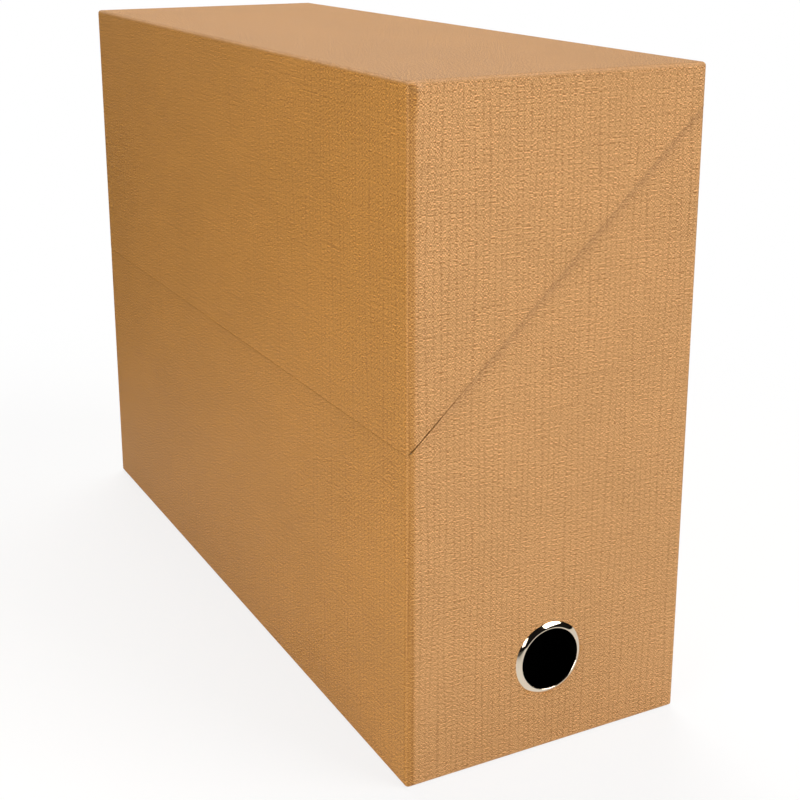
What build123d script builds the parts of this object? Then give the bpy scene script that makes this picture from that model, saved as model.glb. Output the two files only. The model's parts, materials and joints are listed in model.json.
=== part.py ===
from build123d import *
import os

# Filing box for papers: a rigid greyboard box with a hinged lid, covered in grained paper.
# Millimetres. The origin is the middle of the footprint on the floor, +Z is up.
# X is the width: the lid's flap is on the -X side and the hinge on the +X side.
# Y is the length: the end with the finger ring is at -Y.

# Size of the closed box
box_length = 340.0
box_width = 120.0
box_height = 255.0

# Board and papers
board = 2.4
cover = 0.25
lining = 0.25
edge_radius = 1.5
turn_in = 15.0

# Where the sheets on the ends and under the base stop short of the edges
sheet_from_flap_edge = 2.4
sheet_from_top_edge = 2.3
base_paper_from_edge = 2.5

# Line where the lid meets the body, seen on the ends: it rounds up from the flap and slants to the hinge
seam_front_height = 128.7
hinge_drop = 14.5
seam_gap = 0.3
seam_knee = 0.8
seam_radius = 4.0
crease_width = 6.0
lid_edge_shown = 3.0

# Collar strips inside the body, standing above the seam
collar_board = 1.2
collar_clearance = 0.25
collar_above_seam = 12.0
collar_below_seam = 28.0

# Finger ring on the -Y end: bore, bead outside, barrel through the wall and flare over a washer inside
ring_height = 37.5
ring_bore_radius = 12.1
ring_outer_radius = 14.4
ring_wall = 0.35
ring_proud = 1.2
ring_inner_lip = 0.5
ring_hole_clearance = 0.15
ring_flare_radius = 13.9
washer_radius = 16.0
washer_thickness = 0.5
washer_clearance = 0.05

# Faces of the layers, from the outside in
half_width = box_width / 2
half_length = box_length / 2
board_side = half_width - cover
inner_side = board_side - board
paper_end = half_length - cover
board_end = paper_end - cover
inner_end = board_end - board
paper_bottom = cover
board_bottom = paper_bottom + cover
inner_bottom = board_bottom + board
board_top = box_height - cover
inner_top = board_top - board

# Faces of the linings: the body's is thicker, so that the collar on it stands clear of the lid's
body_lining_thickness = lining + collar_clearance
body_lined_side = inner_side - body_lining_thickness
body_lined_end = inner_end - body_lining_thickness
body_lined_bottom = inner_bottom + body_lining_thickness
lid_lined_side = inner_side - lining
lid_lined_end = inner_end - lining
lid_lined_top = inner_top - lining

# The seam, and how far the edges of papers and boards stand back from its middle
hinge_height = box_height - hinge_drop
paper_edge = seam_gap / 2
board_edge = paper_edge + cover
front_wall_top = seam_front_height - paper_edge
rear_wall_top = hinge_height - paper_edge
flap_bottom = seam_front_height + paper_edge
strip_bottom = hinge_height + paper_edge

# Where the turned-in papers end
turn_in_side = half_width - turn_in
turn_in_end = paper_end - turn_in
turn_in_top = box_height - turn_in

# Ranges that several pieces share
margin = box_height
whole_height = (0, box_height)
whole_length = (-half_length, half_length)
between_ends = (-inner_end, inner_end)
between_turn_ins = (-turn_in_side, turn_in_side)
board_width = (-board_side, board_side)
body_lined_width = (-body_lined_side, body_lined_side)
body_lined_heights = (body_lined_bottom, box_height)
lid_lined_width = (-lid_lined_side, body_lined_side - collar_clearance)
lid_lined_heights = (0, lid_lined_top)
front_board = (-board_side, -inner_side)
rear_board = (inner_side, board_side)
sheet_width = (sheet_from_flap_edge - half_width, half_width - edge_radius)
sheet_heights = (paper_bottom + edge_radius, box_height - sheet_from_top_edge)
ring_side = -1
plain_side = 1


# Blocks that the pieces are made from
def slab(x_range, y_range, z_range):
    with BuildPart(Plane.XY.offset(z_range[0])) as block:
        with Locations((x_range[0], y_range[0])):
            Box(
                x_range[1] - x_range[0],
                y_range[1] - y_range[0],
                z_range[1] - z_range[0],
                align=(Align.MIN, Align.MIN, Align.MIN),
            )
    return block.part


# A whole box between two heights with all its edges rounded
def rounded_block(half_x, half_y, z_range, radius):
    with BuildPart() as block:
        add(slab((-half_x, half_x), (-half_y, half_y), z_range))
        fillet(block.edges(), radius=radius)
    return block.part


# The area above or below the seam, as seen from the ring end, with the seam moved up by shift
def seam_area(above, shift):
    knee = (seam_knee - half_width, seam_front_height + shift)
    hinge = (half_width, hinge_height + shift)
    far_side = half_width + margin
    far_height = box_height + margin if above else -margin
    with BuildSketch() as area:
        with BuildLine():
            Polyline(
                (-far_side, knee[1]),
                knee,
                hinge,
                (far_side, hinge[1]),
                (far_side, far_height),
                (-far_side, far_height),
                close=True,
            )
        make_face()
        fillet(area.vertices().sort_by_distance(knee)[0], radius=seam_radius)
    return area.sketch


# A flat block on one end of the box, between two distances from its middle: a rectangle cut to
# the given areas
def end_block(side, near, far, x_range, z_range, *areas):
    with BuildPart() as block:
        with BuildSketch(Plane.XZ.offset(near if side == ring_side else -far)):
            with Locations((x_range[0], z_range[0])):
                Rectangle(x_range[1] - x_range[0], z_range[1] - z_range[0], align=(Align.MIN, Align.MIN))
            for area in areas:
                add(area, mode=Mode.INTERSECT)
        extrude(amount=far - near)
    return block.part


# Everything on one side of the seam, right through the box
def seam_block(area):
    with BuildPart() as block:
        with BuildSketch(Plane.XZ):
            add(area)
        extrude(amount=box_length, both=True)
    return block.part


def write(piece, name):
    piece.part.label = name
    export_step(piece.part, f"parts/{name}.step")


os.makedirs("parts", exist_ok=True)
paper_outside = rounded_block(half_width, paper_end, (paper_bottom, box_height), edge_radius)
board_outside = rounded_block(board_side, board_end, (board_bottom, board_top), edge_radius - cover)
body_area = seam_area(False, -paper_edge)
body_board_area = seam_area(False, -board_edge)
lid_area = seam_area(True, paper_edge)
lid_board_area = seam_area(True, board_edge)
lid_lining_area = seam_area(True, paper_edge + lid_edge_shown)
body_block = seam_block(body_area)
lid_block = seam_block(lid_area)
with BuildSketch() as lid_border:
    add(lid_area)
    add(lid_lining_area, mode=Mode.SUBTRACT)
lid_border_area = lid_border.sketch

# One skin of covering paper round the whole closed box, from which the cover papers are cut
with BuildPart() as paper_skin:
    add(paper_outside)
    add(board_outside, mode=Mode.SUBTRACT)


# The part of a sheet that lies between the cover papers' turned-in edges and turns under the base
def turned_sheet(side):
    with BuildPart() as sheet:
        add(paper_skin.part)
        add(end_block(side, turn_in_end, half_length, between_turn_ins, whole_height, body_area),
            mode=Mode.INTERSECT)
    return sheet.part


# Band of the skin that folds when the lid opens
crease_z = (hinge_height - crease_width / 2, hinge_height + crease_width / 2)
crease_y = (edge_radius - paper_end, paper_end - edge_radius)
with BuildPart() as hinge_crease:
    add(slab((board_side, half_width), crease_y, crease_z))
write(hinge_crease, "hinge_crease")

# Greyboard of the body: the base with the walls standing on it
with BuildPart() as base_board:
    with BuildSketch(Plane.XY.offset(board_bottom)):
        Rectangle(2 * board_side, 2 * board_end)
    extrude(amount=board)
    add(board_outside, mode=Mode.INTERSECT)
write(base_board, "base_board")

with BuildPart() as front_wall_board:
    add(slab(front_board, between_ends, (inner_bottom, front_wall_top - cover)))
write(front_wall_board, "front_wall_board")

with BuildPart() as rear_wall_board:
    add(slab(rear_board, between_ends, (inner_bottom, rear_wall_top)))
write(rear_wall_board, "rear_wall_board")

# Greyboard of the lid: the top with the flap and the hinge strip under it
with BuildPart() as lid_top_board:
    with BuildSketch(Plane.XY.offset(inner_top)):
        Rectangle(2 * board_side, 2 * board_end)
    extrude(amount=board)
    add(board_outside, mode=Mode.INTERSECT)
write(lid_top_board, "lid_top_board")

with BuildPart() as lid_flap_board:
    add(slab(front_board, between_ends, (flap_bottom + cover, inner_top)))
write(lid_flap_board, "lid_flap_board")

with BuildPart() as lid_hinge_strip:
    add(slab(rear_board, between_ends, (strip_bottom, inner_top)))
write(lid_hinge_strip, "lid_hinge_strip")

# Cover papers of the body: up one long wall each, turned in under the base and round the ends
with BuildPart() as front_cover_paper:
    add(paper_skin.part)
    add(slab((-half_width, -turn_in_side), whole_length, whole_height), mode=Mode.INTERSECT)
    add(body_block, mode=Mode.INTERSECT)
    add(slab(front_board, between_ends, (front_wall_top - cover, front_wall_top)))
write(front_cover_paper, "front_cover_paper")

with BuildPart() as rear_cover_paper:
    add(paper_skin.part)
    add(slab((turn_in_side, half_width), whole_length, whole_height), mode=Mode.INTERSECT)
    add(body_block, mode=Mode.INTERSECT)
    add(hinge_crease.part, mode=Mode.SUBTRACT)
write(rear_cover_paper, "rear_cover_paper")

# Cover paper of the lid: over the flap, the top and the hinge strip, turned in round the ends
# and over the flap's lower edge
with BuildPart() as lid_cover_paper:
    add(paper_skin.part)
    add(lid_block, mode=Mode.INTERSECT)
    for side in (ring_side, plain_side):
        add(end_block(side, board_end, half_length, between_turn_ins, (0, turn_in_top)), mode=Mode.SUBTRACT)
    add(hinge_crease.part, mode=Mode.SUBTRACT)
    add(slab(front_board, between_ends, (flap_bottom, flap_bottom + cover)))
    add(slab((-inner_side, -lid_lined_side), between_ends, (flap_bottom, flap_bottom + lid_edge_shown)))
write(lid_cover_paper, "lid_cover_paper")

# Paper under the base, filling the space between the turned-in papers
with BuildPart() as base_paper:
    with BuildSketch(Plane.XY):
        Rectangle(box_width - 2 * base_paper_from_edge, box_length - 2 * base_paper_from_edge)
    extrude(amount=paper_bottom)
    with BuildSketch(Plane.XY.offset(paper_bottom)):
        Rectangle(2 * turn_in_side, 2 * turn_in_end)
    extrude(amount=cover)
write(base_paper, "base_paper")

# Dark linings of the long walls, the base and the top
with BuildPart() as body_lining:
    add(slab((-inner_side, inner_side), between_ends, (inner_bottom, rear_wall_top)))
    add(slab((-body_lined_side, body_lined_side), between_ends, (body_lined_bottom, box_height)),
        mode=Mode.SUBTRACT)
    add(slab((-inner_side, 0), between_ends, (front_wall_top, box_height)), mode=Mode.SUBTRACT)
write(body_lining, "body_lining")

with BuildPart() as lid_lining:
    add(slab((-inner_side, inner_side), between_ends, (flap_bottom + lid_edge_shown, inner_top)))
    add(slab((-lid_lined_side, lid_lined_side), between_ends, (0, lid_lined_top)), mode=Mode.SUBTRACT)
    add(slab((0, inner_side), between_ends, (0, strip_bottom)), mode=Mode.SUBTRACT)
write(lid_lining, "lid_lining")

# Collar strip inside the front wall
with BuildPart() as front_collar:
    with BuildSketch(Plane.XY.offset(seam_front_height - collar_below_seam)):
        with Locations((-body_lined_side, 0)):
            Rectangle(collar_board, 2 * body_lined_end, align=(Align.MIN, Align.CENTER))
    extrude(amount=collar_below_seam + collar_above_seam)
write(front_collar, "front_collar")

# Hole for the ring's barrel, through every layer of the ring end
with BuildPart() as ring_hole:
    with BuildSketch(Plane.XZ):
        with Locations((0, ring_height)):
            Circle(ring_bore_radius + ring_wall + ring_hole_clearance)
    extrude(amount=box_length)

# The two ends: in the body a board, a grained sheet, a lining and a collar strip on each,
# and in the lid a board, a grained sheet and a lining
for end_name, side in (("ring_end", ring_side), ("plain_end", plain_side)):
    with BuildPart() as end_board:
        add(end_block(side, inner_end, board_end, board_width, (inner_bottom, box_height), body_board_area))
        add(board_outside, mode=Mode.INTERSECT)
        if side == ring_side:
            add(ring_hole.part, mode=Mode.SUBTRACT)
    write(end_board, f"{end_name}_board")

    # The sheet runs over the board's slanting edge, down between the cover papers' turned-in
    # edges, over those and under the base
    with BuildPart() as end_sheet:
        add(end_block(side, inner_end, board_end, board_width, whole_height, body_area))
        add(end_block(side, inner_end, board_end, board_width, whole_height, body_board_area),
            mode=Mode.SUBTRACT)
        add(board_outside, mode=Mode.INTERSECT)
        add(turned_sheet(side))
        add(end_block(side, paper_end, half_length, sheet_width, sheet_heights, body_area))
        if side == ring_side:
            add(ring_hole.part, mode=Mode.SUBTRACT)
    write(end_sheet, f"{end_name}_sheet")

    with BuildPart() as end_lining:
        add(end_block(side, body_lined_end, inner_end, body_lined_width, body_lined_heights, body_area))
        if side == ring_side:
            add(ring_hole.part, mode=Mode.SUBTRACT)
    write(end_lining, f"{end_name}_lining")

    with BuildPart() as end_collar:
        add(
            end_block(
                side,
                body_lined_end - collar_board,
                body_lined_end,
                (collar_board - body_lined_side, body_lined_side),
                whole_height,
                seam_area(False, collar_above_seam),
                seam_area(True, -collar_below_seam),
            )
        )
    write(end_collar, f"{end_name}_collar")

    with BuildPart() as lid_end_board:
        add(end_block(side, inner_end, board_end, board_width, (0, inner_top), lid_board_area))
        add(board_outside, mode=Mode.INTERSECT)
    write(lid_end_board, f"lid_{end_name}_board")

    # The lid's sheet also shows a narrow turned-in border inside
    with BuildPart() as lid_end_sheet:
        add(end_block(side, inner_end, board_end, board_width, (0, inner_top), lid_area))
        add(end_block(side, inner_end, board_end, board_width, (0, inner_top), lid_board_area),
            mode=Mode.SUBTRACT)
        add(board_outside, mode=Mode.INTERSECT)
        add(end_block(side, lid_lined_end, inner_end, lid_lined_width, lid_lined_heights, lid_border_area))
        add(end_block(side, board_end, paper_end, between_turn_ins, (0, turn_in_top), lid_area))
        add(end_block(side, paper_end, half_length, sheet_width, sheet_heights, lid_area))
    write(lid_end_sheet, f"lid_{end_name}_sheet")

    with BuildPart() as lid_end_lining:
        add(end_block(side, lid_lined_end, inner_end, lid_lined_width, lid_lined_heights, lid_lining_area))
    write(lid_end_lining, f"lid_{end_name}_lining")

# Finger ring: a rolled bead on the sheet, a barrel through the wall and a flare over the washer
washer_face = body_lined_end - washer_thickness
barrel_radius = ring_bore_radius + ring_wall
lip = (ring_bore_radius, -half_length - ring_inner_lip)
crest = ((ring_bore_radius + ring_outer_radius) / 2, -half_length - ring_proud)
bead_foot = (ring_outer_radius, -half_length)
bore_end = (ring_bore_radius, -washer_face)
flare_start = (barrel_radius, ring_wall - washer_face)
ring_axis = Axis((0, 0, ring_height), (0, 1, 0))
with BuildPart() as finger_ring:
    with BuildSketch(Plane.XY.offset(ring_height)):
        with BuildLine():
            ThreePointArc(bead_foot, crest, lip)
            Line(lip, bore_end)
            RadiusArc(bore_end, flare_start, ring_wall)
            Polyline(
                flare_start,
                (ring_flare_radius, flare_start[1]),
                (ring_flare_radius, -washer_face),
                (barrel_radius, -washer_face),
                (barrel_radius, -half_length),
                bead_foot,
            )
        make_face()
    revolve(axis=ring_axis)
write(finger_ring, "finger_ring")

with BuildPart() as ring_back_washer:
    with BuildSketch(Plane.XZ.offset(washer_face)):
        with Locations((0, ring_height)):
            Circle(washer_radius)
            Circle(barrel_radius + washer_clearance, mode=Mode.SUBTRACT)
    extrude(amount=washer_thickness)
write(ring_back_washer, "ring_back_washer")
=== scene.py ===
import json
import math

import bmesh
import bpy
import numpy as np
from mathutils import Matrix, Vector

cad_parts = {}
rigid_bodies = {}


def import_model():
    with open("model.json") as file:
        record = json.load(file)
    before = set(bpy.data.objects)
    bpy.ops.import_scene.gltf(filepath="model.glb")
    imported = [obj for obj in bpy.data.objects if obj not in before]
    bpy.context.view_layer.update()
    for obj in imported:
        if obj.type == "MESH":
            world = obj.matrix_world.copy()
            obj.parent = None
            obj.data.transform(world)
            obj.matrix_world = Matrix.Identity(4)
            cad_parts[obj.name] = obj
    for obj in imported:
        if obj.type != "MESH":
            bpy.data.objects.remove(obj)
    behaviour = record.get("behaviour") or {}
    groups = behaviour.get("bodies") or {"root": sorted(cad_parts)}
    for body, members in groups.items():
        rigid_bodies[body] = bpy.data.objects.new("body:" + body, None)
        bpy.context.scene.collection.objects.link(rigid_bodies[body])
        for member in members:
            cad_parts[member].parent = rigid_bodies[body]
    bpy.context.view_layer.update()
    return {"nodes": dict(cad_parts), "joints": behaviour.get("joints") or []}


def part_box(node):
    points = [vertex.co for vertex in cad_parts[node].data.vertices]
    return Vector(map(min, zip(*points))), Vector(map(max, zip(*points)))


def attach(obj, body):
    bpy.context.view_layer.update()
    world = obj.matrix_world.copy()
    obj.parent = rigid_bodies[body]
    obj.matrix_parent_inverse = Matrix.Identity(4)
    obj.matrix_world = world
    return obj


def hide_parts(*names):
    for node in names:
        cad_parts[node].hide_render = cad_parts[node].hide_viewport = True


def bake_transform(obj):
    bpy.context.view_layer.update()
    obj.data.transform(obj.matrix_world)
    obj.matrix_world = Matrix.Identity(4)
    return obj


# Filing box: what it looks like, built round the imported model.
# X is the width with the flap at -X and the hinge at +X, Y the length with the ring end at -Y, Z is up.
# Lengths are in millimetres up to the making of a mesh, and in metres from there on.
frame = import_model()
mm = 0.001


def box(node):
    low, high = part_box(node)
    return np.array(low) / mm, np.array(high) / mm


# Places taken from the model
joint = frame["joints"][0]
body_name, lid_name = joint["parent"], joint["child"]
hinge = np.array(joint["pos_m"]) / mm
skin_low, skin_high = box("lid_cover_paper")
skin_low[2] = box("rear_cover_paper")[0][2]
end_sheet_low, end_sheet_high = box("lid_ring_end_sheet")
end_face = -end_sheet_low[1]
sheet_top = end_sheet_high[2]
paper = end_face - skin_high[1]
wall_inside, _, wall_top = box("front_wall_board")[1]
flap_foot = box("lid_flap_board")[0][2]
seam_level = (wall_top + flap_foot) / 2
end_inside = -box("ring_end_board")[1][1]
lining_low, lining_high = box("lid_ring_end_lining")
crease_low, crease_high = box("hinge_crease")
ring_low, ring_high = box("finger_ring")
ring_centre_z = (ring_low[2] + ring_high[2]) / 2
bead_radius = (ring_high[2] - ring_low[2]) / 2
bead_crest = ring_low[1]
washer_low, washer_high = box("ring_back_washer")

# Sizes of the paper work. The edges are round, and worn a little wider on the flap's side.
edge_radius = 1.5
worn_edge_width = 1.7
radii_low = np.array([worn_edge_width, edge_radius, edge_radius])
radii_high = np.full(3, edge_radius)
turn_in = 15.0
border_shown = 3.0
tolerance = 0.01

# The end sheets are set in from the edges, and slope down to a thin lip on the papers under them
sheet_left = skin_low[0] + 2.0
sheet_right = skin_high[0] - 0.4
sheet_bottom = 0.5
sheet_ramp = 0.9
sheet_left_ramp = 2.4
sheet_lip = 0.03

# The seam on the ends: it rounds up from the flap's level and slants to the hinge
knee_x = skin_low[0] + 0.8
seam_radius = 4.0
seam_tilt = math.atan((hinge[2] - seam_level) / (skin_high[0] - knee_x))
knee_start = knee_x - seam_radius * math.tan(seam_tilt / 2)
knee_end = knee_start + seam_radius * math.sin(seam_tilt)


def smooth(t):
    t = np.clip(t, 0, 1)
    return t * t * (3 - 2 * t)


def bell(t):
    return np.exp(-(t**2))


def seam_angle(x):
    along = np.clip((np.asarray(x, float) - knee_start) / seam_radius, 0, math.sin(seam_tilt))
    return np.arcsin(along)


def seam_height(x):
    x = np.asarray(x, float)
    level_and_round = seam_level + seam_radius * (1 - np.cos(seam_angle(x)))
    return level_and_round + math.tan(seam_tilt) * np.maximum(x - knee_end, 0)


# Lines of the grids that the papers are made from, close together at the edges
edge_lines = np.array([0, 0.2, 0.45, 0.75, 1.1, 1.5, 2.1, 3.0, 4.5])
lip_lines = np.array([0, 0.03, 0.07, 0.12, 0.3, 0.7, 1.3, 2.0, 3.0])
cover_lip_lines = lip_lines[:-1]  # these stay within the crease's half width up the slope
x_step = 4.0
y_step = 4.5
row_step = 4.5
fine_row_step = 2.5
least_step = 0.05


def spread(low, high, step):
    low, high = np.broadcast_arrays(np.asarray(low, float), np.asarray(high, float))
    count = max(2, int(math.ceil(np.max(high - low) / step)) + 1)
    t = np.linspace(0, 1, count).reshape((-1,) + (1,) * low.ndim)
    return low + (high - low) * t


def lines(low, high, step, *extra):
    middle = spread(low + edge_lines[-1], high - edge_lines[-1], step)
    found = np.concatenate([low + edge_lines, middle, high - edge_lines, np.array(extra, float)])
    found = np.unique(np.round(found, 4))
    return found[np.concatenate([[True], np.diff(found) > least_step])]


# The columns of the ends lie closer together where the fold of the lid's corner crosses them
pleat_lines = skin_low[0] + np.arange(3.6, 7.4, 0.6)
x_lines = lines(skin_low[0], skin_high[0], x_step, sheet_left, turn_in + skin_low[0], skin_high[0] - turn_in,
                *pleat_lines)
y_lines = lines(skin_low[1], skin_high[1], y_step, crease_low[1], crease_high[1])


# How far the surface lies back at a distance from the seam's edge, and which way it faces there:
# first the share that faces out, then the share that faces the gap
def lip(distance, size):
    left = np.clip(1 - distance / size, 0, 1)
    out = np.sqrt(1 - left**2)
    return size * (1 - out), out, left


# A point of a sharp-edged box moved onto the same box with rounded edges, grown by some thickness
def rounded(place, thickness):
    low, high = skin_low - thickness, skin_high + thickness
    core = np.clip(place, skin_low + radii_low, skin_high - radii_high)
    radii = np.where(place < core, radii_low, radii_high) + thickness
    away = (np.clip(place, low, high) - core) / radii
    away = away / np.linalg.norm(away, axis=-1, keepdims=True)
    normal = away / radii
    return core + radii * away, normal / np.linalg.norm(normal, axis=-1, keepdims=True)


# A sheet of paper: grids of points on its outside, each with its partner on the inside, joined where
# they meet and closed round the open edges. Points that agree to the joining decimals are one point.
joining_decimals = 3


class Paper:
    def __init__(self):
        self.outer, self.inner, self.uv, self.wear, self.pale, self.faces = [], [], [], [], [], []
        self.count = 0

    def grid(self, outer, inner, uv, wear=0.0, pale=0.0, keep=None):
        rows, columns = outer.shape[:2]
        number = self.count + np.arange(rows * columns).reshape(rows, columns)
        quads = np.stack([number[:-1, :-1], number[:-1, 1:], number[1:, 1:], number[1:, :-1]], -1)
        if keep is not None:
            quads = quads[keep]
        self.outer.append(outer.reshape(-1, 3))
        self.inner.append(inner.reshape(-1, 3))
        self.uv.append(np.broadcast_to(uv, outer.shape[:2] + (2,)).reshape(-1, 2))
        self.wear.append(np.broadcast_to(wear, outer.shape[:2]).ravel())
        self.pale.append(np.broadcast_to(pale, outer.shape[:2]).ravel())
        self.faces.append(quads.reshape(-1, 4))
        self.count += rows * columns

    # Faces of the outside with their corners on the map, and their edges with both ends on the map
    def outside(self, outer, inner, same):
        uv = np.concatenate(self.uv)
        faces, face_uv, edges = [], [], {}
        for quad in np.concatenate(self.faces):
            corners = []
            for k in quad:
                if same[k] not in [c for c, _ in corners]:
                    corners.append((int(same[k]), k))
            if len(corners) < 3:
                continue
            ring = [c for c, _ in corners]
            places = outer[ring]
            facing = np.cross(places[1] - places[0], places[2] - places[0])
            facing = facing + np.cross(places[-2] - places[0], places[-1] - places[0])
            if facing @ (places - inner[ring]).mean(0) < 0:
                corners = corners[::-1]
            faces.append([c for c, _ in corners])
            face_uv.append([uv[k] for _, k in corners])
            for (a, ka), (b, kb) in zip(corners, corners[1:] + corners[:1]):
                edges[a, b] = uv[ka], uv[kb]
        return faces, face_uv, edges

    # The closed mesh: the outside, the inside, and the cut edge round both
    def piece(self, name, body, *replaced):
        outer, inner = np.concatenate(self.outer), np.concatenate(self.inner)
        rounded_off = np.round(outer, joining_decimals)
        _, first, same = np.unique(rounded_off, axis=0, return_index=True, return_inverse=True)
        outer, inner = outer[first], inner[first]
        faces, face_uv, edges = self.outside(outer, inner, same.ravel())
        shown, count = len(faces), len(outer)
        for k in range(shown):
            faces.append([c + count for c in faces[k][::-1]])
            face_uv.append(face_uv[k][::-1])
        for (a, b), (ua, ub) in edges.items():
            if (b, a) not in edges:
                faces.append([b, a, a + count, b + count])
                face_uv.append([ub, ua, ua, ub])
        mesh = bpy.data.meshes.new(name)
        mesh.from_pydata(np.concatenate([outer, inner]) * mm, [], faces)
        layer = mesh.uv_layers.new(name="paper")
        layer.data.foreach_set("uv", (np.concatenate(face_uv) * mm).astype(np.float32).ravel())
        for key, grids in (("wear", self.wear), ("pale", self.pale)):
            values = np.concatenate(grids)[first]
            attribute = mesh.attributes.new(key, "FLOAT", "POINT")
            attribute.data.foreach_set("value", np.concatenate([values, values]).astype(np.float32))
        kinds = np.zeros(len(faces), np.int32)
        kinds[2 * shown:] = 1
        mesh.polygons.foreach_set("material_index", kinds)
        return finish_piece(name, mesh, body, [linen, paper_edge], "cover_paper", *replaced)


def placed(name, data):
    made = bpy.data.objects.new(name, data)
    bpy.context.scene.collection.objects.link(made)
    return made


# A piece shades smoothly over its edges up to this angle
smooth_angle = math.radians(35)


def finish_piece(name, mesh, body, materials, slot, *replaced):
    for material in materials:
        mesh.materials.append(material)
    mesh.validate()
    mesh.shade_smooth()
    mesh.set_sharp_from_angle(angle=smooth_angle)
    piece = placed(name, mesh)
    if body:
        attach(piece, body)
    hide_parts(*replaced)
    return piece


# Node trees of the materials and of the world
class Nodes:
    def __init__(self, owner):
        owner.use_nodes = True
        self.owner = owner
        self.tree = owner.node_tree
        self.shader = self.tree.nodes.get("Principled BSDF")

    def add(self, kind, **settings):
        node = self.tree.nodes.new("ShaderNode" + kind)
        for key, value in settings.items():
            setattr(node, key, value)
        return node

    def link(self, source, target):
        self.tree.links.new(source, target)

    def put(self, target, value):
        if isinstance(value, bpy.types.NodeSocket):
            self.link(value, target)
        else:
            target.default_value = value

    def maths(self, operation, a, b=0.0, c=0.0):
        node = self.add("Math", operation=operation)
        for socket, value in zip(node.inputs, (a, b, c)):
            self.put(socket, value)
        return node.outputs[0]

    def times(self, a, b):
        return self.maths("MULTIPLY", a, b)

    # The base with a share of the value added to it
    def plus(self, base, value, share):
        return self.maths("MULTIPLY_ADD", value, share, base)

    def noise(self, vector, scale, detail=1.0, roughness=0.5):
        node = self.add("TexNoise")
        for key, value in (("Vector", vector), ("Scale", scale), ("Detail", detail),
                           ("Roughness", roughness)):
            self.put(node.inputs[key], value)
        return node.outputs["Fac"]

    # Noise with its own scale along each axis
    def stretched_noise(self, vector, scales, detail=1.0, roughness=0.5):
        node = self.add("Mapping")
        self.put(node.inputs["Vector"], vector)
        node.inputs["Scale"].default_value = scales
        return self.noise(node.outputs[0], 1.0, detail, roughness)

    # The value, led smoothly from one level to another between low and high
    def span(self, value, low, high, to_low, to_high):
        node = self.add("MapRange", interpolation_type="SMOOTHSTEP")
        for socket, v in zip(node.inputs, (value, low, high, to_low, to_high)):
            self.put(socket, v)
        return node.outputs["Result"]

    def mixed(self, factor, a, b, blend="MIX"):
        node = self.add("Mix", data_type="RGBA", blend_type=blend)
        self.put(node.inputs[0], factor)
        self.put(node.inputs[6], a)
        self.put(node.inputs[7], b)
        return node.outputs[2]

    def bump(self, height, distance):
        node = self.add("Bump")
        node.inputs["Distance"].default_value = distance
        self.put(node.inputs["Height"], height)
        self.link(node.outputs["Normal"], self.shader.inputs["Normal"])

    def finish(self, tone, roughness, specular, metallic=0.0):
        for key, value in (("Base Color", tone), ("Roughness", roughness),
                           ("Specular IOR Level", specular), ("Metallic", metallic)):
            self.put(self.shader.inputs[key], value)
        return self.owner


def colour(r, g, b):
    return (r, g, b, 1.0)


# A linen grain pressed into paper: level rows of short ridges that change places with the hollows, and
# fainter upright and level threads. The pattern lies along the sheet, by its own map, in metres, so that
# the scales of the noise are in waves a metre, first along the rows and then across them.
row_pitch = 0.00112
row_drift, row_wander = 1.0, 5.0
thread_pitch = 0.0026
thread_sway = 14.0
upright_depth, level_depth = 0.24, 0.13
fibre_height = 0.4


def linen_relief(n, place):
    parts = n.add("SeparateXYZ")
    n.link(place, parts.inputs[0])
    along, up = parts.outputs[0], parts.outputs[1]
    phase = n.times(up, 2 * math.pi / row_pitch)
    phase = n.plus(phase, n.stretched_noise(place, (90, 160, 1), 2.0), row_drift)
    phase = n.plus(phase, n.stretched_noise(place, (3000, 300, 1)), row_wander)
    side = n.span(n.stretched_noise(place, (3400, 500, 1)), 0.34, 0.66, -1.0, 1.0)
    worked = n.stretched_noise(place, (300, 110, 1))

    def threads(across, sway_scales, weakest, strongest):
        sway = n.stretched_noise(place, sway_scales)
        thread_phase = n.plus(n.times(across, 2 * math.pi / thread_pitch), sway, thread_sway)
        thread = n.span(n.maths("SINE", thread_phase), 0.5, 1.0, 0.0, 1.0)
        return n.times(thread, n.span(worked, 0.4, 0.65, weakest, strongest))

    height = n.times(n.maths("SINE", phase), side)
    height = n.plus(height, threads(along, (130, 9, 1), 0.6, 1.0), -upright_depth)
    height = n.plus(height, threads(up, (40, 130, 1), 1.0, 0.3), -level_depth)
    return n.plus(height, n.stretched_noise(place, (2800, 2800, 1)), fibre_height)


# Linen paper: the hollows are darker than the ridges, partly by the grain's own tone and partly as painted
# shade in the hollows and a whiter painted sheen on the ridges. The pale attribute says where the paper is
# painted paler as a sheen of its gloss, and the wear attribute where it is rubbed pale with a painted
# highlight, or painted with shade where it is negative.
painted_hollow_shade = colour(0.5, 0.39, 0.19)
painted_ridge_sheen = colour(1.58, 1.73, 2.15)
rubbed_and_highlight_tone = colour(0.86, 0.5, 0.27)
rubbed_and_highlight_share = 0.4
painted_shade_tone = colour(0.12, 0.05, 0.015)


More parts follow.
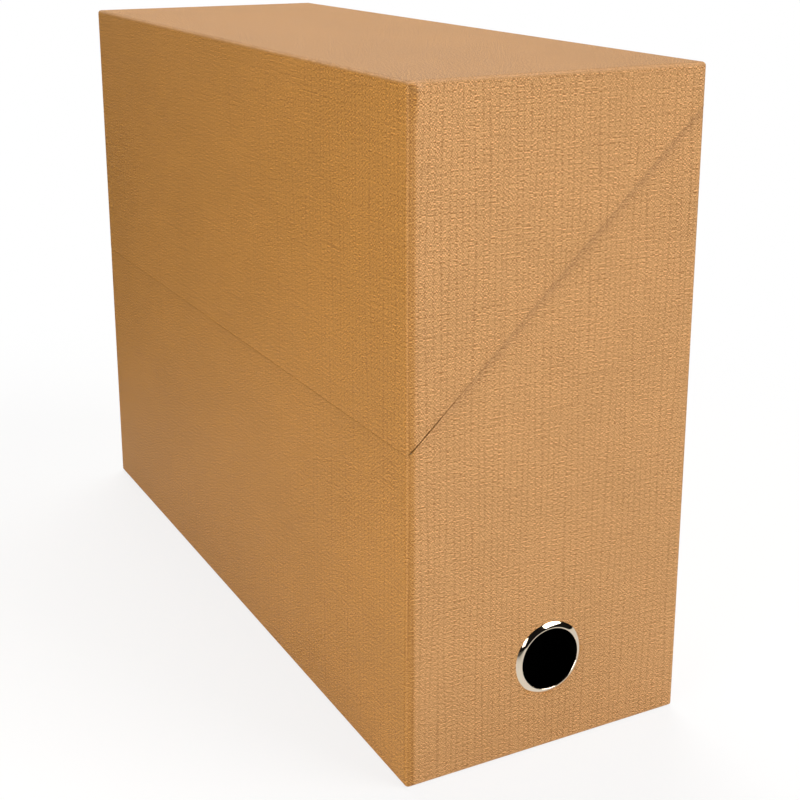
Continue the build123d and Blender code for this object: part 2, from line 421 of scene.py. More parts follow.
def linen_paper(name, side_tone, painted_sheen_tone, depth):
    n = Nodes(bpy.data.materials.new(name))
    place = n.add("UVMap", uv_map="paper").outputs["UV"]
    height = linen_relief(n, place)
    raised = n.span(height, -0.42, 0.9, 0.0, 1.0)
    # The grain's tone: painted shade in the hollows and painted sheen on the ridges, with random clouds over
    # it
    shade = n.mixed(raised, painted_hollow_shade, painted_ridge_sheen)
    cloud = n.span(n.stretched_noise(place, (16, 22, 1), 3.0, 0.6), 0.3, 0.7, 0.0, 1.0)
    clouded = n.mixed(cloud, colour(0.97, 0.97, 0.96), colour(1.03, 1.03, 1.04))
    shade = n.mixed(1.0, shade, clouded, "MULTIPLY")
    # Painted sheen: a paler tone where the pale attribute is set
    pale = n.add("Attribute", attribute_name="pale").outputs["Fac"]
    tone = n.mixed(pale, colour(*side_tone), colour(*painted_sheen_tone))
    tone = n.mixed(1.0, tone, shade, "MULTIPLY")
    # Rubbed wear and painted highlights where the wear attribute is positive, painted shade where it is
    # negative
    worn_and_lit = n.add("Attribute", attribute_name="wear").outputs["Fac"]
    patchy = n.span(n.stretched_noise(place, (260, 260, 1), 3.0), 0.3, 0.7, 0.35, 1.0)
    rubbed_and_lit = n.maths("MAXIMUM", n.times(worn_and_lit, patchy), 0.0)
    painted_shade = n.maths("MAXIMUM", n.times(worn_and_lit, -1.0), 0.0)
    tone = n.mixed(n.times(rubbed_and_lit, rubbed_and_highlight_share), tone, rubbed_and_highlight_tone)
    tone = n.mixed(painted_shade, tone, painted_shade_tone)
    n.bump(height, depth)
    return n.finish(tone, n.span(raised, 0.0, 1.0, 0.6, 0.46), 0.4)


# The other materials have patterns in the piece's own coordinates, in metres
def object_nodes(name):
    n = Nodes(bpy.data.materials.new(name))
    return n, n.add("TexCoord").outputs["Object"]


def cut_paper(name):
    n, place = object_nodes(name)
    fibre = n.noise(place, 2500, 3.0, 0.6)
    n.bump(fibre, 0.00003)
    return n.finish(n.mixed(fibre, colour(0.62, 0.4, 0.18), colour(0.78, 0.58, 0.34)), 0.8, 0.3)


def greyboard(name):
    n, place = object_nodes(name)
    fleck = n.noise(place, 900, 4.0, 0.65)
    layer = n.stretched_noise(place, (120, 120, 1600), 3.0, 0.6)
    tone = n.mixed(n.span(fleck, 0.3, 0.7, 0.0, 1.0), colour(0.2, 0.175, 0.145), colour(0.36, 0.32, 0.27))
    tone = n.mixed(n.span(layer, 0.45, 0.65, 0.0, 0.4), tone, colour(0.17, 0.15, 0.125))
    n.bump(n.maths("ADD", fleck, layer), 0.00015)
    return n.finish(tone, 0.9, 0.2)


def dark_paper(name, tone_low, tone_high, scale, depth, roughness):
    n, place = object_nodes(name)
    grain = n.noise(place, scale, 4.0, 0.6)
    cloud = n.noise(place, 30, 3.0)
    tone = n.mixed(n.span(cloud, 0.3, 0.7, 0.0, 1.0), colour(*tone_low), colour(*tone_high))
    tone = n.mixed(n.span(grain, 0.55, 0.75, 0.0, 0.5), tone, colour(*(2 * c for c in tone_high)))
    n.bump(grain, depth)
    return n.finish(tone, n.span(grain, 0.3, 0.7, roughness, roughness - 0.12), 0.2)


def plated_metal(name, tone, roughness, scratch_depth):
    n, place = object_nodes(name)
    smear = n.noise(place, 260, 3.0, 0.6)
    n.bump(n.stretched_noise(place, (900, 5000, 900), 2.0, 0.6), scratch_depth)
    plating = n.mixed(smear, colour(*(0.96 * c for c in tone)), colour(*tone))
    return n.finish(plating, n.span(smear, 0.3, 0.75, roughness, roughness * 2.2), 0.5, 1.0)


# The second tone is the first with a painted sheen added
linen = linen_paper("linen_paper", (0.54, 0.236, 0.035), (0.6, 0.306, 0.103), depth=0.00006)
paper_edge = cut_paper("cut_paper_edge")
board_material = greyboard("greyboard")
lining_material = dark_paper("dark_lining_paper", (0.010, 0.010, 0.011), (0.015, 0.015, 0.016),
                             scale=1800, depth=0.00004, roughness=0.7)
collar_material = dark_paper("dark_collar_card", (0.012, 0.012, 0.013), (0.019, 0.019, 0.02),
                             scale=1200, depth=0.00006, roughness=0.62)
ring_metal = plated_metal("ring_plating", (0.93, 0.8, 0.63), roughness=0.035, scratch_depth=0.0000006)
washer_metal = plated_metal("washer_plating", (0.72, 0.71, 0.68), roughness=0.22, scratch_depth=0.000004)

# The ends get a painted shade and less painted sheen in a band beside the flap's edge, where the end sheet's
# margin is pressed down. The band is widest near the top. The top gets a painted sheen too.
margin_start, margin_rise = 0.1, 0.6
margin_end, margin_fall = 2.2, 1.8
corner_margin, corner_margin_drop, corner_margin_reach = 0.6, 6.0, 5.0
margin_shade = 0.16
margin_sheen_loss = 0.8
top_paleness = 0.36


def margin(x, z):
    inward = x - skin_low[0]
    down = skin_high[2] - z
    corner = 1 + corner_margin * bell((down - corner_margin_drop) / corner_margin_reach)
    fading = 1 - smooth((inward - margin_end) / (margin_fall * corner))
    return corner * smooth((inward - margin_start) / margin_rise) * fading


# Painted sheen: the paper is painted paler where it faces the ends, less so in the margin, and where it
# faces up
def end_paleness(x, z):
    return np.clip(1 - margin_sheen_loss * margin(x, z), 0, 1)


def paleness(place):
    normal = rounded(place, 0.0)[1]
    on_end = np.abs(normal[..., 1]) ** 3 * end_paleness(place[..., 0], place[..., 2])
    return on_end + top_paleness * np.maximum(normal[..., 2], 0)


# The fold of the lid cover's turned-in corner runs down from the corner to the end sheet's corner. Its
# ridge catches the light and has a painted highlight too, and the paper under it has a painted shade.
pleat_run = 6.4
pleat_drop = 2.5
pleat_length = math.hypot(pleat_run, pleat_drop)
pleat_height, pleat_half = 0.13, 0.45
pleat_overrun, pleat_fall = 0.5, 1.5
ridge_light, ridge_half = 1.5, 0.5
fold_shade, fold_shade_drop, fold_shade_half = 0.3, 1.4, 0.7


# How far down from the fold a place on the end lies, and how much of the fold is there along its run
def fold_place(place, start, rise):
    inward = place[..., 0] - skin_low[0]
    down = skin_high[2] - place[..., 2]
    across = (down * pleat_run - inward * pleat_drop) / pleat_length
    along = (inward * pleat_run + down * pleat_drop) / pleat_length
    fading = smooth((pleat_length + pleat_overrun - along) / pleat_fall)
    return across, smooth((along - start) / rise) * fading


def pleat(place):
    across, shown = fold_place(place, start=1.0, rise=1.5)
    return pleat_height * shown * bell(across / pleat_half)


# Painted highlight on the fold's ridge and painted shade under it
def pleat_wear(place):
    across, shown = fold_place(place, start=0.3, rise=1.0)
    shade = fold_shade * bell((across - fold_shade_drop) / fold_shade_half)
    return shown * (ridge_light * bell(across / ridge_half) - shade)


# The level edges are rubbed and get a painted highlight, and the ends get their fold's painted highlight and
# shade and the painted shade of their margin
edge_rub_and_highlight, edge_highlight_reach = 1.5, 0.7
clean_limit = 0.4


def edge_wear(place):
    x, y, z = np.moveaxis(place, -1, 0)
    from_end = np.abs(np.abs(y) - skin_high[1])
    from_wall = np.minimum(np.abs(np.abs(x) - skin_high[0]), from_end)
    from_level = np.minimum(np.abs(z - skin_high[2]), np.abs(z - skin_low[2]))
    rubbed_and_lit = edge_rub_and_highlight * bell(np.maximum(from_level, from_wall) / edge_highlight_reach)
    on_end = (from_end < tolerance) * (rubbed_and_lit < clean_limit)
    return rubbed_and_lit + (pleat_wear(place) - margin_shade * margin(x, z)) * on_end


# The lid and the body stand this far from the middle line of the seam. The gap shows at the flap's end,
# and closes up the slope and along the flap. Under the end sheets the covers stop short.
gap_shown = 0.26
gap_closed = 0.03
gap_start, gap_rise = 0.1, 2.0
gap_end, gap_fall = 5.0, 20.0
# Painted shade on the papers over the board's edges in the gap, less of it along the flap
gap_shade, flap_gap_shade = 1.0, 0.5
flap_start, flap_rise = 0.3, 1.2
least_lip, lip_share = 0.02, 0.5
setback_start, setback_rise = sheet_left - 0.2, 0.4
cover_setback = 0.35
press_depth = 0.08
press_reach = 2.5
# Painted shade on the body's walls just below the seam
press_shade = 0.1


def along_flap(y):
    return smooth((skin_high[1] - flap_start - np.abs(np.asarray(y, float))) / flap_rise)


def gap_half(x, y):
    inward = np.asarray(x, float) - skin_low[0]
    opened = smooth((inward - gap_start) / gap_rise) * (1 - smooth((inward - gap_end) / gap_fall))
    return gap_closed + (gap_shown - gap_closed) * opened * (1 - along_flap(y))


def lip_size(x, y):
    return least_lip + lip_share * gap_half(x, y)


def cover_edge(x, y):
    on_end = np.abs(y) > skin_high[1] - tolerance
    covered = smooth((np.asarray(x, float) - setback_start) / setback_rise) * on_end
    return gap_half(x, y) + cover_setback * covered


# Points on the outside of the covers and their partners inside, at a distance from the seam. The side is 1
# on the body, where the gap lies above the paper, and -1 on the lid.
def skin_points(place, from_seam=None, side=1):
    outer, normal = rounded(place, 0.0)
    if from_seam is None:
        return outer, outer - paper * normal
    back, out, toward = lip(from_seam[..., None], lip_size(place[..., 0:1], place[..., 1:2]))
    angle = seam_angle(place[..., 0:1]) * np.abs(normal[..., 1:2])
    gap_way = side * np.concatenate([-np.sin(angle), 0 * angle, np.cos(angle)], -1)
    outer = outer - back * normal
    on_wall = (side > 0) * np.abs(normal[..., 0:1])
    pressed = press_depth * np.exp(-from_seam[..., None] / press_reach) * on_wall
    inner = outer - paper * (out * normal + toward * gap_way)
    return outer - pressed * normal, inner


# The rows of a cover at each column, with their distance from the seam, and the number of the row that
# bounds the crease, or the strip that is turned in from the top
def lid_rows(x, y):
    slant = np.cos(seam_angle(x))
    edge = seam_height(x) + cover_edge(x, y) / slant
    near = edge + cover_lip_lines.reshape(-1, 1) / slant
    turn = np.maximum(skin_high[2] - turn_in, seam_height(x) + crease_high[2] - hinge[2])
    low = spread(near[-1], turn, row_step)
    high = spread(turn, np.full_like(turn, skin_high[2] - edge_lines[-1]), fine_row_step)
    top = (skin_high[2] - edge_lines[-2::-1]).reshape(-1, 1) + 0 * edge
    rows = np.concatenate([near[:-1], low, high[1:], top])
    return rows, (rows - edge) * slant, len(near) + len(low) - 2


def body_rows(x, y):
    slant = np.cos(seam_angle(x))
    edge = seam_height(x) - cover_edge(x, y) / slant
    near = edge - cover_lip_lines[::-1].reshape(-1, 1) / slant
    bottom = (skin_low[2] + edge_lines).reshape(-1, 1) + 0 * edge
    turn = np.minimum(near[0], seam_height(x) - hinge[2] + crease_low[2])
    low = spread(bottom[-1], turn, row_step)
    high = spread(turn, near[0], fine_row_step)
    rows = np.concatenate([bottom[:-1], low, high[1:], near[1:]])
    return rows, (edge - rows) * slant, len(bottom) + len(low) - 2


def on_side(x, y, z):
    return np.stack([x + 0 * z, y + 0 * z, z], -1)


# One face of a cover, on the wall at one x or on the end at one y, with its edge at the seam given back
def side_grid(sheet, x, y, rows_of, leave_out=None):
    on_end = np.ndim(y) == 0
    columns = x if on_end else y
    rows, distance, turn_row = rows_of(x + 0 * columns, y + 0 * columns)
    place = on_side(x, y, rows)
    above = rows_of is lid_rows
    outer, inner = skin_points(place, distance, -1 if above else 1)
    if on_end and above:
        outer[..., 1] += np.sign(y) * pleat(place)
    kept = np.ones((rows.shape[0] - 1, rows.shape[1] - 1), bool)
    if leave_out:
        leave_out(kept, (columns[1:] + columns[:-1]) / 2, turn_row)
    # Rubbed wear, painted highlights and painted shade; the body's walls get more painted shade below the
    # seam
    wear = edge_wear(place)
    if not above and not on_end:
        wear = wear - press_shade * np.exp(-distance / press_reach)
    map_place = place[..., [0, 2]] if on_end else place[..., [1, 2]]
    sheet.grid(outer, inner, map_place, wear, paleness(place), kept)
    return outer[0 if above else -1]


def in_crease(y):
    return (y > crease_low[1]) & (y < crease_high[1])


def above_crease(kept, middle, turn_row):
    kept[:turn_row, in_crease(middle)] = False


def below_crease(kept, middle, turn_row):
    kept[turn_row:, in_crease(middle)] = False


def turned_in(kept, middle, turn_row):
    kept[:turn_row, np.abs(middle) < skin_high[0] - turn_in] = False


# The level part of a cover, on the top with a painted sheen, or under the base without it
def level_grid(sheet, columns, z):
    x, y = np.meshgrid(columns, y_lines)
    place = np.stack([x, y, np.full_like(x, z)], -1)
    outer, inner = skin_points(place)
    pale = paleness(place) if z > skin_low[2] else 0.0
    sheet.grid(outer, inner, place[..., [1, 0]], edge_wear(place), pale)


# The paper goes on over the board's edge, and so does its map
rim_length = 3.0
across_rim = np.linspace(0, 1, 4).reshape(-1, 1, 1)


def rim(sheet, edge_outer, side):
    target = edge_outer.copy()
    target[:, 0] = np.maximum(edge_outer[:, 0], wall_inside)
    target[:, 1] = np.clip(edge_outer[:, 1], -end_inside, end_inside)
    outer = edge_outer + (target - edge_outer) * across_rim
    inner = outer - np.array([0, 0, side * paper])
    uv = np.stack([outer[..., 1] + outer[..., 0], outer[..., 2] + rim_length * across_rim[..., 0]], -1)
    # The paper over the board's edge gets a painted shade in the gap, less of it along the flap
    sheet.grid(outer, inner, uv, -gap_shade + (gap_shade - flap_gap_shade) * along_flap(outer[..., 1]))


# A grid of points with an x and a z for each row and a y for each column
def row_grid(x, y, z):
    return np.stack(np.broadcast_arrays(x[:, None], y, z[:, None]), -1)


ends = (-skin_high[1], skin_high[1])
end_flap_columns = np.count_nonzero(x_lines <= sheet_left + tolerance)

# Lid cover: flap, top and hinge strip in one, with the turned-in edges on both ends
lid_cover = Paper()
rim(lid_cover, side_grid(lid_cover, skin_low[0], y_lines, lid_rows), -1)
side_grid(lid_cover, skin_high[0], y_lines, lid_rows, above_crease)
for end in ends:
    edge = side_grid(lid_cover, x_lines, end, lid_rows, turned_in)
    rim(lid_cover, edge[:end_flap_columns], -1)
level_grid(lid_cover, x_lines, skin_high[2])

# The lid cover's border inside the flap, which rounds in from its edge
border_lines = np.array([0, 0.06, 0.2, border_shown])
border_share = np.array([0.4, 0.85, 1, 1])
border_outer = row_grid(wall_inside + paper * border_share, y_lines[np.abs(y_lines) <= end_inside],
                        seam_level + gap_closed + border_lines)
border_inner = border_outer.copy()
border_inner[..., 0] = wall_inside
lid_cover.grid(border_outer, border_inner, border_outer[..., 1:])
lid_cover.piece("lid_cover", lid_name, "lid_cover_paper")


# Body covers: one up each long wall, pressed back a little along the seam
def body_cover(name, node, wall, columns):
    sheet = Paper()
    front = wall < 0
    edge = side_grid(sheet, wall, y_lines, body_rows, None if front else below_crease)
    if front:
        rim(sheet, edge, 1)
    for end in ends:
        edge = side_grid(sheet, columns, end, body_rows)
        if front:
            rim(sheet, edge[:end_flap_columns], 1)
    level_grid(sheet, columns, skin_low[2])
    sheet.piece(name, body_name, node)


base_turn = turn_in + tolerance
body_cover("front_cover", "front_cover_paper", skin_low[0], x_lines[x_lines <= skin_low[0] + base_turn])
body_cover("rear_cover", "rear_cover_paper", skin_high[0], x_lines[x_lines >= skin_high[0] - base_turn])

# Crease: the band of cover paper at the fold between body and lid, with a shallow score line
score_depth = 0.12
score_half = 0.7
half_steps = np.array([0.1, 0.2, 0.3, 0.4, 0.5, 0.7, 1, 1.4, 2, 3])
crease_steps = np.concatenate([-half_steps[::-1], [0], half_steps])
crease = Paper()
crease_y = y_lines[(y_lines >= crease_low[1] - tolerance) & (y_lines <= crease_high[1] + tolerance)]
crease_outer = row_grid(skin_high[0] - score_depth * bell(crease_steps / score_half), crease_y,
                        hinge[2] + crease_steps)
crease.grid(crease_outer, crease_outer - np.array([paper, 0, 0]), crease_outer[..., 1:])
crease_piece = crease.piece("crease", None, "hinge_crease")
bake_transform(crease_piece)

# End sheets: glued over the turned-in papers, their left edge pressed down softly, their edge at the seam
# cut crisp. The lid's sheet draws back from the flap at its top corner.
ramp_lines = sheet_left + np.array([1.8, sheet_left_ramp])
sheet_x = lines(sheet_left, sheet_right, x_step, *ramp_lines)
sheet_foot_lines = np.array([0, 0.3, 0.6, 0.9, 1.2, 1.6, 2.4, 4])
sheet_top_lines = np.array([3.0, 1.5, 0.7, 0.3, 0.0])
corner_cut = 4.0
corner_fall = 5.0

# Beside the seam the sheets are pressed down in a shallow groove up the slope, and get a painted shade, less
# of it on the lid
groove_depth = 0.12
groove_reach = 1.2
groove_start, groove_rise = skin_low[0] + 10.0, 20.0
seam_shade = 0.24
shade_reach = 2.4
shade_start, shade_rise = skin_low[0] + 2.0, 25.0
lid_shade_share, lid_reach_share = 0.3, 0.4


def sheet_depth(x, z, left):
    from_left = smooth((x - left) / sheet_left_ramp)
    from_right = smooth((sheet_right - x) / sheet_ramp)
    from_bottom = smooth((z - sheet_bottom) / sheet_ramp)
    return (paper - sheet_lip) * (1 - from_left * from_right * from_bottom)


def shade_at_seam(x, distance, on_lid):
    depth = seam_shade * (lid_shade_share if on_lid else 1)
    reach = shade_reach * (lid_reach_share if on_lid else 1)
    return depth * bell(distance / reach) * smooth((x - shade_start) / shade_rise)


# One end sheet's face, with its edge at the seam and the way across the gap given back
def sheet_grid(sheet, end, rows, distance, on_lid):
    pulled = corner_cut * np.exp(-(sheet_top - rows) / corner_fall) if on_lid else 0 * rows
    left = sheet_left + pulled
    x = left + (sheet_x - sheet_left) * (sheet_right - left) / (sheet_right - sheet_left)
    outer, normal = rounded(on_side(x, end * end_face, rows), paper)
    groove = groove_depth * smooth((x - groove_start) / groove_rise) * bell(distance / groove_reach)
    depth = np.minimum(sheet_depth(x, rows, left) + groove, paper - sheet_lip)
    back, out, toward = lip(distance, lip_size(x, end_face))
    angle = seam_angle(x)
    gap_way = np.stack([-np.sin(angle), 0 * angle, np.cos(angle)], -1) * (-1 if on_lid else 1)
    outer = outer - (depth + back)[..., None] * normal
    thick = (paper - depth)[..., None]
    inner = outer - thick * (out[..., None] * normal + toward[..., None] * gap_way)
    # The sheet gets a painted shade beside the seam and in its margin, and a painted sheen
    wear = -shade_at_seam(x, distance, on_lid) - margin_shade * margin(x, rows)
    sheet.grid(outer, inner, np.stack([end * x, rows], -1), wear, end_paleness(x, rows))
    edge = 0 if on_lid else -1
    return outer[edge], gap_way[edge]


# The sheet's part that lies on the board's sloping edge
def ledge(sheet, edge_outer, gap_way, end):
    target = edge_outer.copy()
    target[:, 1] = end * end_inside
    outer = edge_outer + (target - edge_outer) * across_rim
    uv = np.stack([end * outer[..., 0], outer[..., 2] + rim_length * across_rim[..., 0]], -1)
    # The ledge gets a painted shade in the gap
    sheet.grid(outer, outer - paper * gap_way, uv, -gap_shade)


def sheet_lid_rows(x):
    slant = np.cos(seam_angle(x))
    edge = seam_height(x) + gap_half(x, end_face) / slant
    near = edge + lip_lines.reshape(-1, 1) / slant
    low = spread(near[-1], np.full_like(edge, sheet_top - sheet_top_lines[0]), row_step)
    top = (sheet_top - sheet_top_lines[1:]).reshape(-1, 1) + 0 * edge
    rows = np.concatenate([near[:-1], low, top])
    return rows, (rows - edge) * slant


def sheet_body_rows(x):
    slant = np.cos(seam_angle(x))
    edge = seam_height(x) - gap_half(x, end_face) / slant
    near = edge - lip_lines[::-1].reshape(-1, 1) / slant
    bottom = (sheet_bottom + sheet_foot_lines).reshape(-1, 1) + 0 * edge
    rows = np.concatenate([bottom[:-1], spread(bottom[-1], near[0], row_step), near[1:]])
    return rows, (edge - rows) * slant


# The hole under the ring
drill_length = 20.0


def bored(piece, radius):
    drill = bmesh.new()
    place = Vector((0, 1, 0)).to_track_quat("Z", "Y").to_matrix().to_4x4()
    place.translation = Vector((0, -end_face * mm, ring_centre_z * mm))
    bmesh.ops.create_cone(drill, cap_ends=True, segments=96, radius1=radius * mm, radius2=radius * mm,
                          depth=drill_length * mm, matrix=place)
    mesh = bpy.data.meshes.new("drill")
    drill.to_mesh(mesh)
    drill.free()
    tool = placed("drill", mesh)
    cut = piece.modifiers.new("bore", "BOOLEAN")
    cut.object = tool
    cut.operation = "DIFFERENCE"
    cut.solver = "EXACT"
    graph = bpy.context.evaluated_depsgraph_get()
    result = bpy.data.meshes.new_from_object(piece.evaluated_get(graph))
    piece.modifiers.clear()
    piece.data = result
    bpy.data.objects.remove(tool)


# The body's sheet, with the layer between the turned-in covers, which goes round the base's edge and
# under it
def body_end_sheet(end_name, end):
    sheet = Paper()
    edge, gap_way = sheet_grid(sheet, end, *sheet_body_rows(sheet_x), on_lid=False)
    ledge(sheet, edge, gap_way, end)
    under_x = x_lines[np.abs(x_lines) <= skin_high[0] - turn_in + tolerance]
    inward = np.append(edge_lines, [8, turn_in]).reshape(-1, 1) + 0 * under_x
    upright = on_side(under_x, end * skin_high[1], skin_low[2] + inward)
    sheet.grid(*skin_points(upright), upright[..., [0, 2]])
    level = np.stack([under_x + 0 * inward, end * (skin_high[1] - inward), skin_low[2] + 0 * inward], -1)
    sheet.grid(*skin_points(level), level[..., :2])
    return sheet.piece(f"{end_name}_linen_sheet", body_name, f"{end_name}_sheet")


# The lid's sheet, with its border inside
def lid_end_sheet(end_name, end):
    sheet = Paper()
    edge, gap_way = sheet_grid(sheet, end, *sheet_lid_rows(sheet_x), on_lid=True)
    ledge(sheet, edge, gap_way, end)
    shown_x = sheet_x[(sheet_x > lining_low[0]) & (sheet_x < lining_high[0])]
    border_gap = gap_half(shown_x, end_face) + border_lines[:, None]
    border_y = end * (end_inside - paper * border_share[:, None])
    outer = on_side(shown_x, border_y, seam_height(shown_x) + border_gap / np.cos(seam_angle(shown_x)))
    inner = outer.copy()
    inner[..., 1] = end * end_inside
    sheet.grid(outer, inner, outer[..., [0, 2]])
    sheet.piece(f"lid_{end_name}_linen_sheet", lid_name, f"lid_{end_name}_sheet")


bead_overlap = 1.6
bored(body_end_sheet("ring_end", -1), bead_radius - bead_overlap)
lid_end_sheet("ring_end", -1)
body_end_sheet("plain_end", 1)
lid_end_sheet("plain_end", 1)


# Turned metal pieces: a profile of radii and depths along Y, spun round the ring's axis
def spun(name, profile, material, slot, node, segments=144):
    profile = np.array(profile)
    turns = np.linspace(0, 2 * math.pi, segments, endpoint=False)
    radius, depth = profile.T
    points = np.stack([
        np.outer(np.sin(turns), radius),
        np.outer(np.ones(segments), depth),
        np.outer(np.cos(turns), radius) + ring_centre_z,
    ], -1).reshape(-1, 3)
    count = len(profile)
    faces = []
    for i in range(segments):
        here, there = i * count, (i + 1) % segments * count
        for j in range(count):
            after = (j + 1) % count
            faces.append([here + j, here + after, there + after, there + j])
    mesh = bpy.data.meshes.new(name)
    mesh.from_pydata(points * mm, [], faces)
    shape = bmesh.new()
    shape.from_mesh(mesh)
    bmesh.ops.recalc_face_normals(shape, faces=shape.faces)
    shape.to_mesh(mesh)
    shape.free()
    finish_piece(name, mesh, body_name, [material], slot, node)


def arc(centre, radius, start, stop, count):
    turns = np.radians(np.linspace(start, stop, count))
    return [(centre[0] + radius * math.cos(t), centre[1] + radius * math.sin(t)) for t in turns]


def bulging(start, stop, bulge, count):
    start, stop = np.array(start), np.array(stop)
    way = (stop - start) / np.linalg.norm(stop - start)
    across = np.array([-way[1], way[0]])
    t = np.linspace(0, 1, count)[:, None]
    return [tuple(p) for p in start + (stop - start) * t + 4 * bulge * t * (1 - t) * across]


# Ring: a slightly domed flank from the sheet up to the rim, which rolls over into the barrel, flared on
# the washer
bead_width = 2.3
metal = 0.35
flank_bulge = 0.075
rim_radius = 0.42
rim_start = -62
barrel_start = 1.2
flare_turn = 0.2
bead_foot = 0.15
seat = 0.02
clear = 0.05
bore = bead_radius - bead_width
barrel_outside = bore + metal
flare_outer = bead_radius - 0.5
flare_seat = washer_high[1] + seat
bead_rim = arc((bore + rim_radius, bead_crest + rim_radius), rim_radius, rim_start, -180, 20)
ring_profile = bulging((bead_radius, -end_face), bead_rim[0], flank_bulge, 14)[:-1] + bead_rim
ring_profile += [(bore, -end_face + barrel_start), (bore, washer_high[1] - flare_turn)]
ring_profile += arc((barrel_outside, washer_high[1]), metal, 180, 90, 6)
ring_profile += [(flare_outer, washer_high[1] + metal), (flare_outer, flare_seat)]
ring_profile += [(barrel_outside, flare_seat), (barrel_outside, -end_face + clear)]
ring_profile += [(bead_radius - bead_foot, -end_face + seat)]
spun("finger_ring_metal", ring_profile, ring_metal, "ring_metal", "finger_ring", 192)

# Washer: flat, with its outer edge broken
washer_outer = washer_high[2] - ring_centre_z
washer_inner = barrel_outside + clear
broken = 0.12
washer_profile = [(washer_inner, washer_low[1]), (washer_outer - broken, washer_low[1]),
                  (washer_outer, washer_low[1] + broken), (washer_outer, washer_high[1] - broken),
                  (washer_outer - broken, washer_high[1]), (washer_inner, washer_high[1])]
spun("back_washer", washer_profile, washer_metal, "washer_metal", "ring_back_washer")


# Collar strips with their cut edges softened
flat_angle, cut_angle = math.radians(1), math.radians(40)


def softened(name, node, material, slot, width):
    shape = bmesh.new()
    shape.from_mesh(frame["nodes"][node].data)
    bmesh.ops.remove_doubles(shape, verts=shape.verts, dist=1e-6)
    bmesh.ops.dissolve_limit(shape, angle_limit=flat_angle, verts=shape.verts, edges=shape.edges)
    sharp = [e for e in shape.edges if e.calc_face_angle(0) > cut_angle]
    bmesh.ops.bevel(shape, geom=sharp, offset=width * mm, segments=3, profile=0.5, affect="EDGES",
                    clamp_overlap=True)
    mesh = bpy.data.meshes.new(name)
    shape.to_mesh(mesh)
    shape.free()
    finish_piece(name, mesh, body_name, [material], slot, node)


for node in ("front_collar", "ring_end_collar", "plain_end_collar"):
    softened(f"{node}_strip", node, collar_material, "collar_card", 0.3)

# Materials of the pieces that keep the model's shape
for name, node in frame["nodes"].items():
    if node.hide_render:
        continue
    if name.endswith("lining"):
        material = lining_material
    elif name == "base_paper":
        material = paper_edge
    else:
        material = board_material
    node.data.materials.clear()
    node.data.materials.append(material)

# Floor and world are white where the camera sees them, and the floor keeps a soft shadow. What shines sees
# a studio with a white floor, brightest on the right and near the box, a white wall behind, and dark
# elsewhere.
even_light = 0.168
studio_dark, studio_bright = 0.008, 0.8
wall_way, wall_start, wall_full = (0.45, 0.89, 0), 0.3, 0.95
floor_half = 6.0
shadow_inner, shadow_outer = 0.26, 0.5
shadow_softening = 0.8
right_way, right_start, right_full, right_floor = (0.9, -0.3, 0), -0.1, 0.06, 0.7
near_radius, far_radius = 0.2, 0.5
near_floor, far_floor = 0.75, 0.08


def seen_by(n):
    path = n.add("LightPath")
    shiny = n.maths("MAXIMUM", path.outputs["Is Glossy Ray"], path.outputs["Is Transmission Ray"])
    return path.outputs["Is Camera Ray"], shiny


def part_along(n, coordinates, way):
    product = n.add("VectorMath", operation="DOT_PRODUCT")
    n.link(n.add("TexCoord").outputs[coordinates], product.inputs[0])
    product.inputs[1].default_value = way
    return product.outputs["Value"]


def blended(n, kind, factor, a, b):
    mixer = n.add("Mix", data_type="FLOAT") if kind == "FLOAT" else n.add("MixShader")
    first, second = (2, 3) if kind == "FLOAT" else (1, 2)
    for socket, value in ((0, factor), (first, a), (second, b)):
        n.put(mixer.inputs[socket], value)
    return mixer.outputs[0]


floor_mesh = bpy.data.meshes.new("floor")
corners = [(x * floor_half, y * floor_half, 0) for x, y in ((-1, -1), (1, -1), (1, 1), (-1, 1))]
floor_mesh.from_pydata(corners, [], [(0, 1, 2, 3)])
floor = placed("floor", floor_mesh)
n = Nodes(bpy.data.materials.new("floor"))
camera_ray, shiny_ray = seen_by(n)
n.finish(n.mixed(camera_ray, colour(0.9, 0.9, 0.9), colour(1, 1, 1)), 0.9, 0.1)
length = n.add("VectorMath", operation="LENGTH")
n.link(n.add("TexCoord").outputs["Object"], length.inputs[0])
from_middle = length.outputs["Value"]
whiteness = n.span(from_middle, shadow_inner, shadow_outer, shadow_softening, 1.0)
on_right = n.span(part_along(n, "Object", right_way), right_start, right_full, 0.0, right_floor)
near_box = n.span(from_middle, near_radius, far_radius, near_floor, far_floor)
white = n.add("Emission")
n.link(blended(n, "FLOAT", shiny_ray, 1.0, n.maths("MAXIMUM", on_right, near_box)), white.inputs["Strength"])
share = n.maths("MAXIMUM", n.times(whiteness, camera_ray), shiny_ray)
n.link(blended(n, "SHADER", share, n.shader.outputs[0], white.outputs[0]),
       n.tree.nodes["Material Output"].inputs["Surface"])
floor_mesh.materials.append(n.owner)

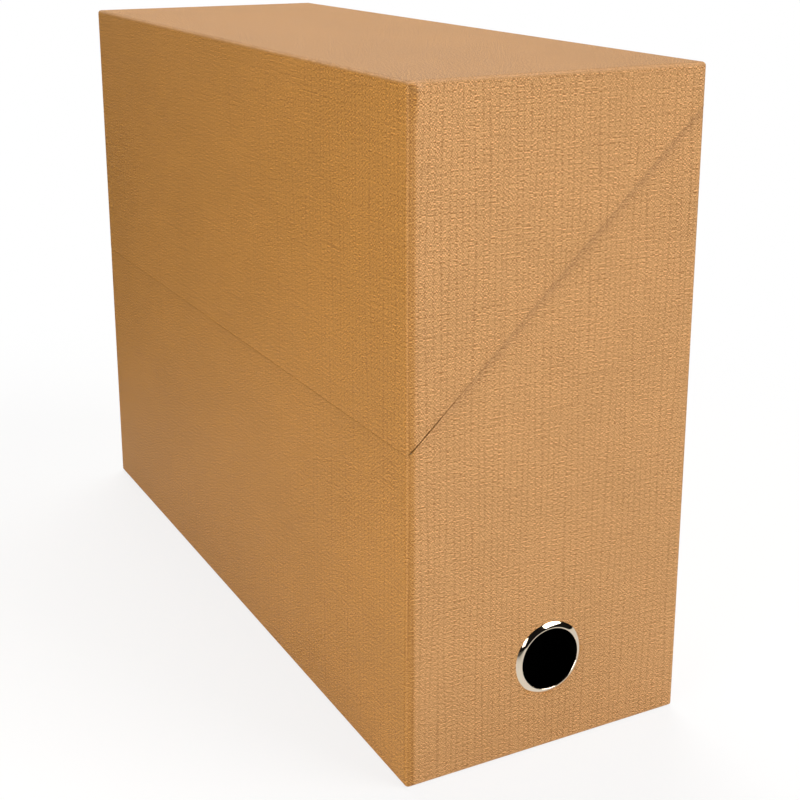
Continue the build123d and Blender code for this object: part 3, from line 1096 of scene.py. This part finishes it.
world = bpy.data.worlds.new("studio")
bpy.context.scene.world = world
n = Nodes(world)
n.tree.nodes.clear()
camera_ray, shiny_ray = seen_by(n)
mirrored = n.span(part_along(n, "Generated", wall_way), wall_start, wall_full, studio_dark, studio_bright)
light = n.add("Background")
light.inputs["Color"].default_value = colour(1, 1, 1)
n.link(blended(n, "FLOAT", camera_ray, blended(n, "FLOAT", shiny_ray, even_light, mirrored), 1.0),
       light.inputs["Strength"])
n.link(light.outputs[0], n.add("OutputWorld").inputs["Surface"])


# A direction turned to the right from +Y and dipped below the horizon, both in degrees
def direction(turn, dip):
    turn, dip = math.radians(turn), math.radians(dip)
    return Vector((math.sin(turn) * math.cos(dip), math.cos(turn) * math.cos(dip), -math.sin(dip)))


def aimed(placed_object, place, way):
    placed_object.location = place
    placed_object.rotation_mode = "QUATERNION"
    placed_object.rotation_quaternion = way.to_track_quat("-Z", "Y")


# Lamps: soft boxes that face the middle of the box
lamp_target = Vector((0, 0, 0.12))


def soft_box(name, azimuth, elevation, distance, width, height, power, tint=(1, 1, 1)):
    way = direction(-azimuth, elevation)
    data = bpy.data.lights.new(name, "AREA")
    data.shape = "RECTANGLE"
    data.size, data.size_y = width, height
    data.energy = power
    data.color = tint
    aimed(placed(name, data), lamp_target - way * distance, way)


soft_box("key_light", azimuth=38, elevation=31, distance=1.7, width=1.1, height=0.6, power=15.3)
soft_box("fill_light", azimuth=-62, elevation=8, distance=1.0, width=0.6, height=0.5, power=4.7)
soft_box("strip_light", azimuth=-27, elevation=13, distance=1.15, width=0.22, height=0.34, power=0.7)
soft_box("top_light", azimuth=160, elevation=66, distance=1.7, width=0.9, height=0.9, power=19,
         tint=(1, 1, 0.98))

# Camera at the photograph's viewing angle
camera_place = Vector((-0.27205, -0.56632, 0.30987))
camera_turn, camera_dip = 27.85, 15.2
camera_lens, camera_shift = 64.26, -0.14
camera_data = bpy.data.cameras.new("camera")
camera_data.sensor_width = 36
camera_data.lens = camera_lens
camera_data.shift_y = camera_shift
camera = placed("camera", camera_data)
aimed(camera, camera_place, direction(camera_turn, camera_dip))
bpy.context.scene.camera = camera
bpy.context.scene.view_settings.view_transform = "Standard"
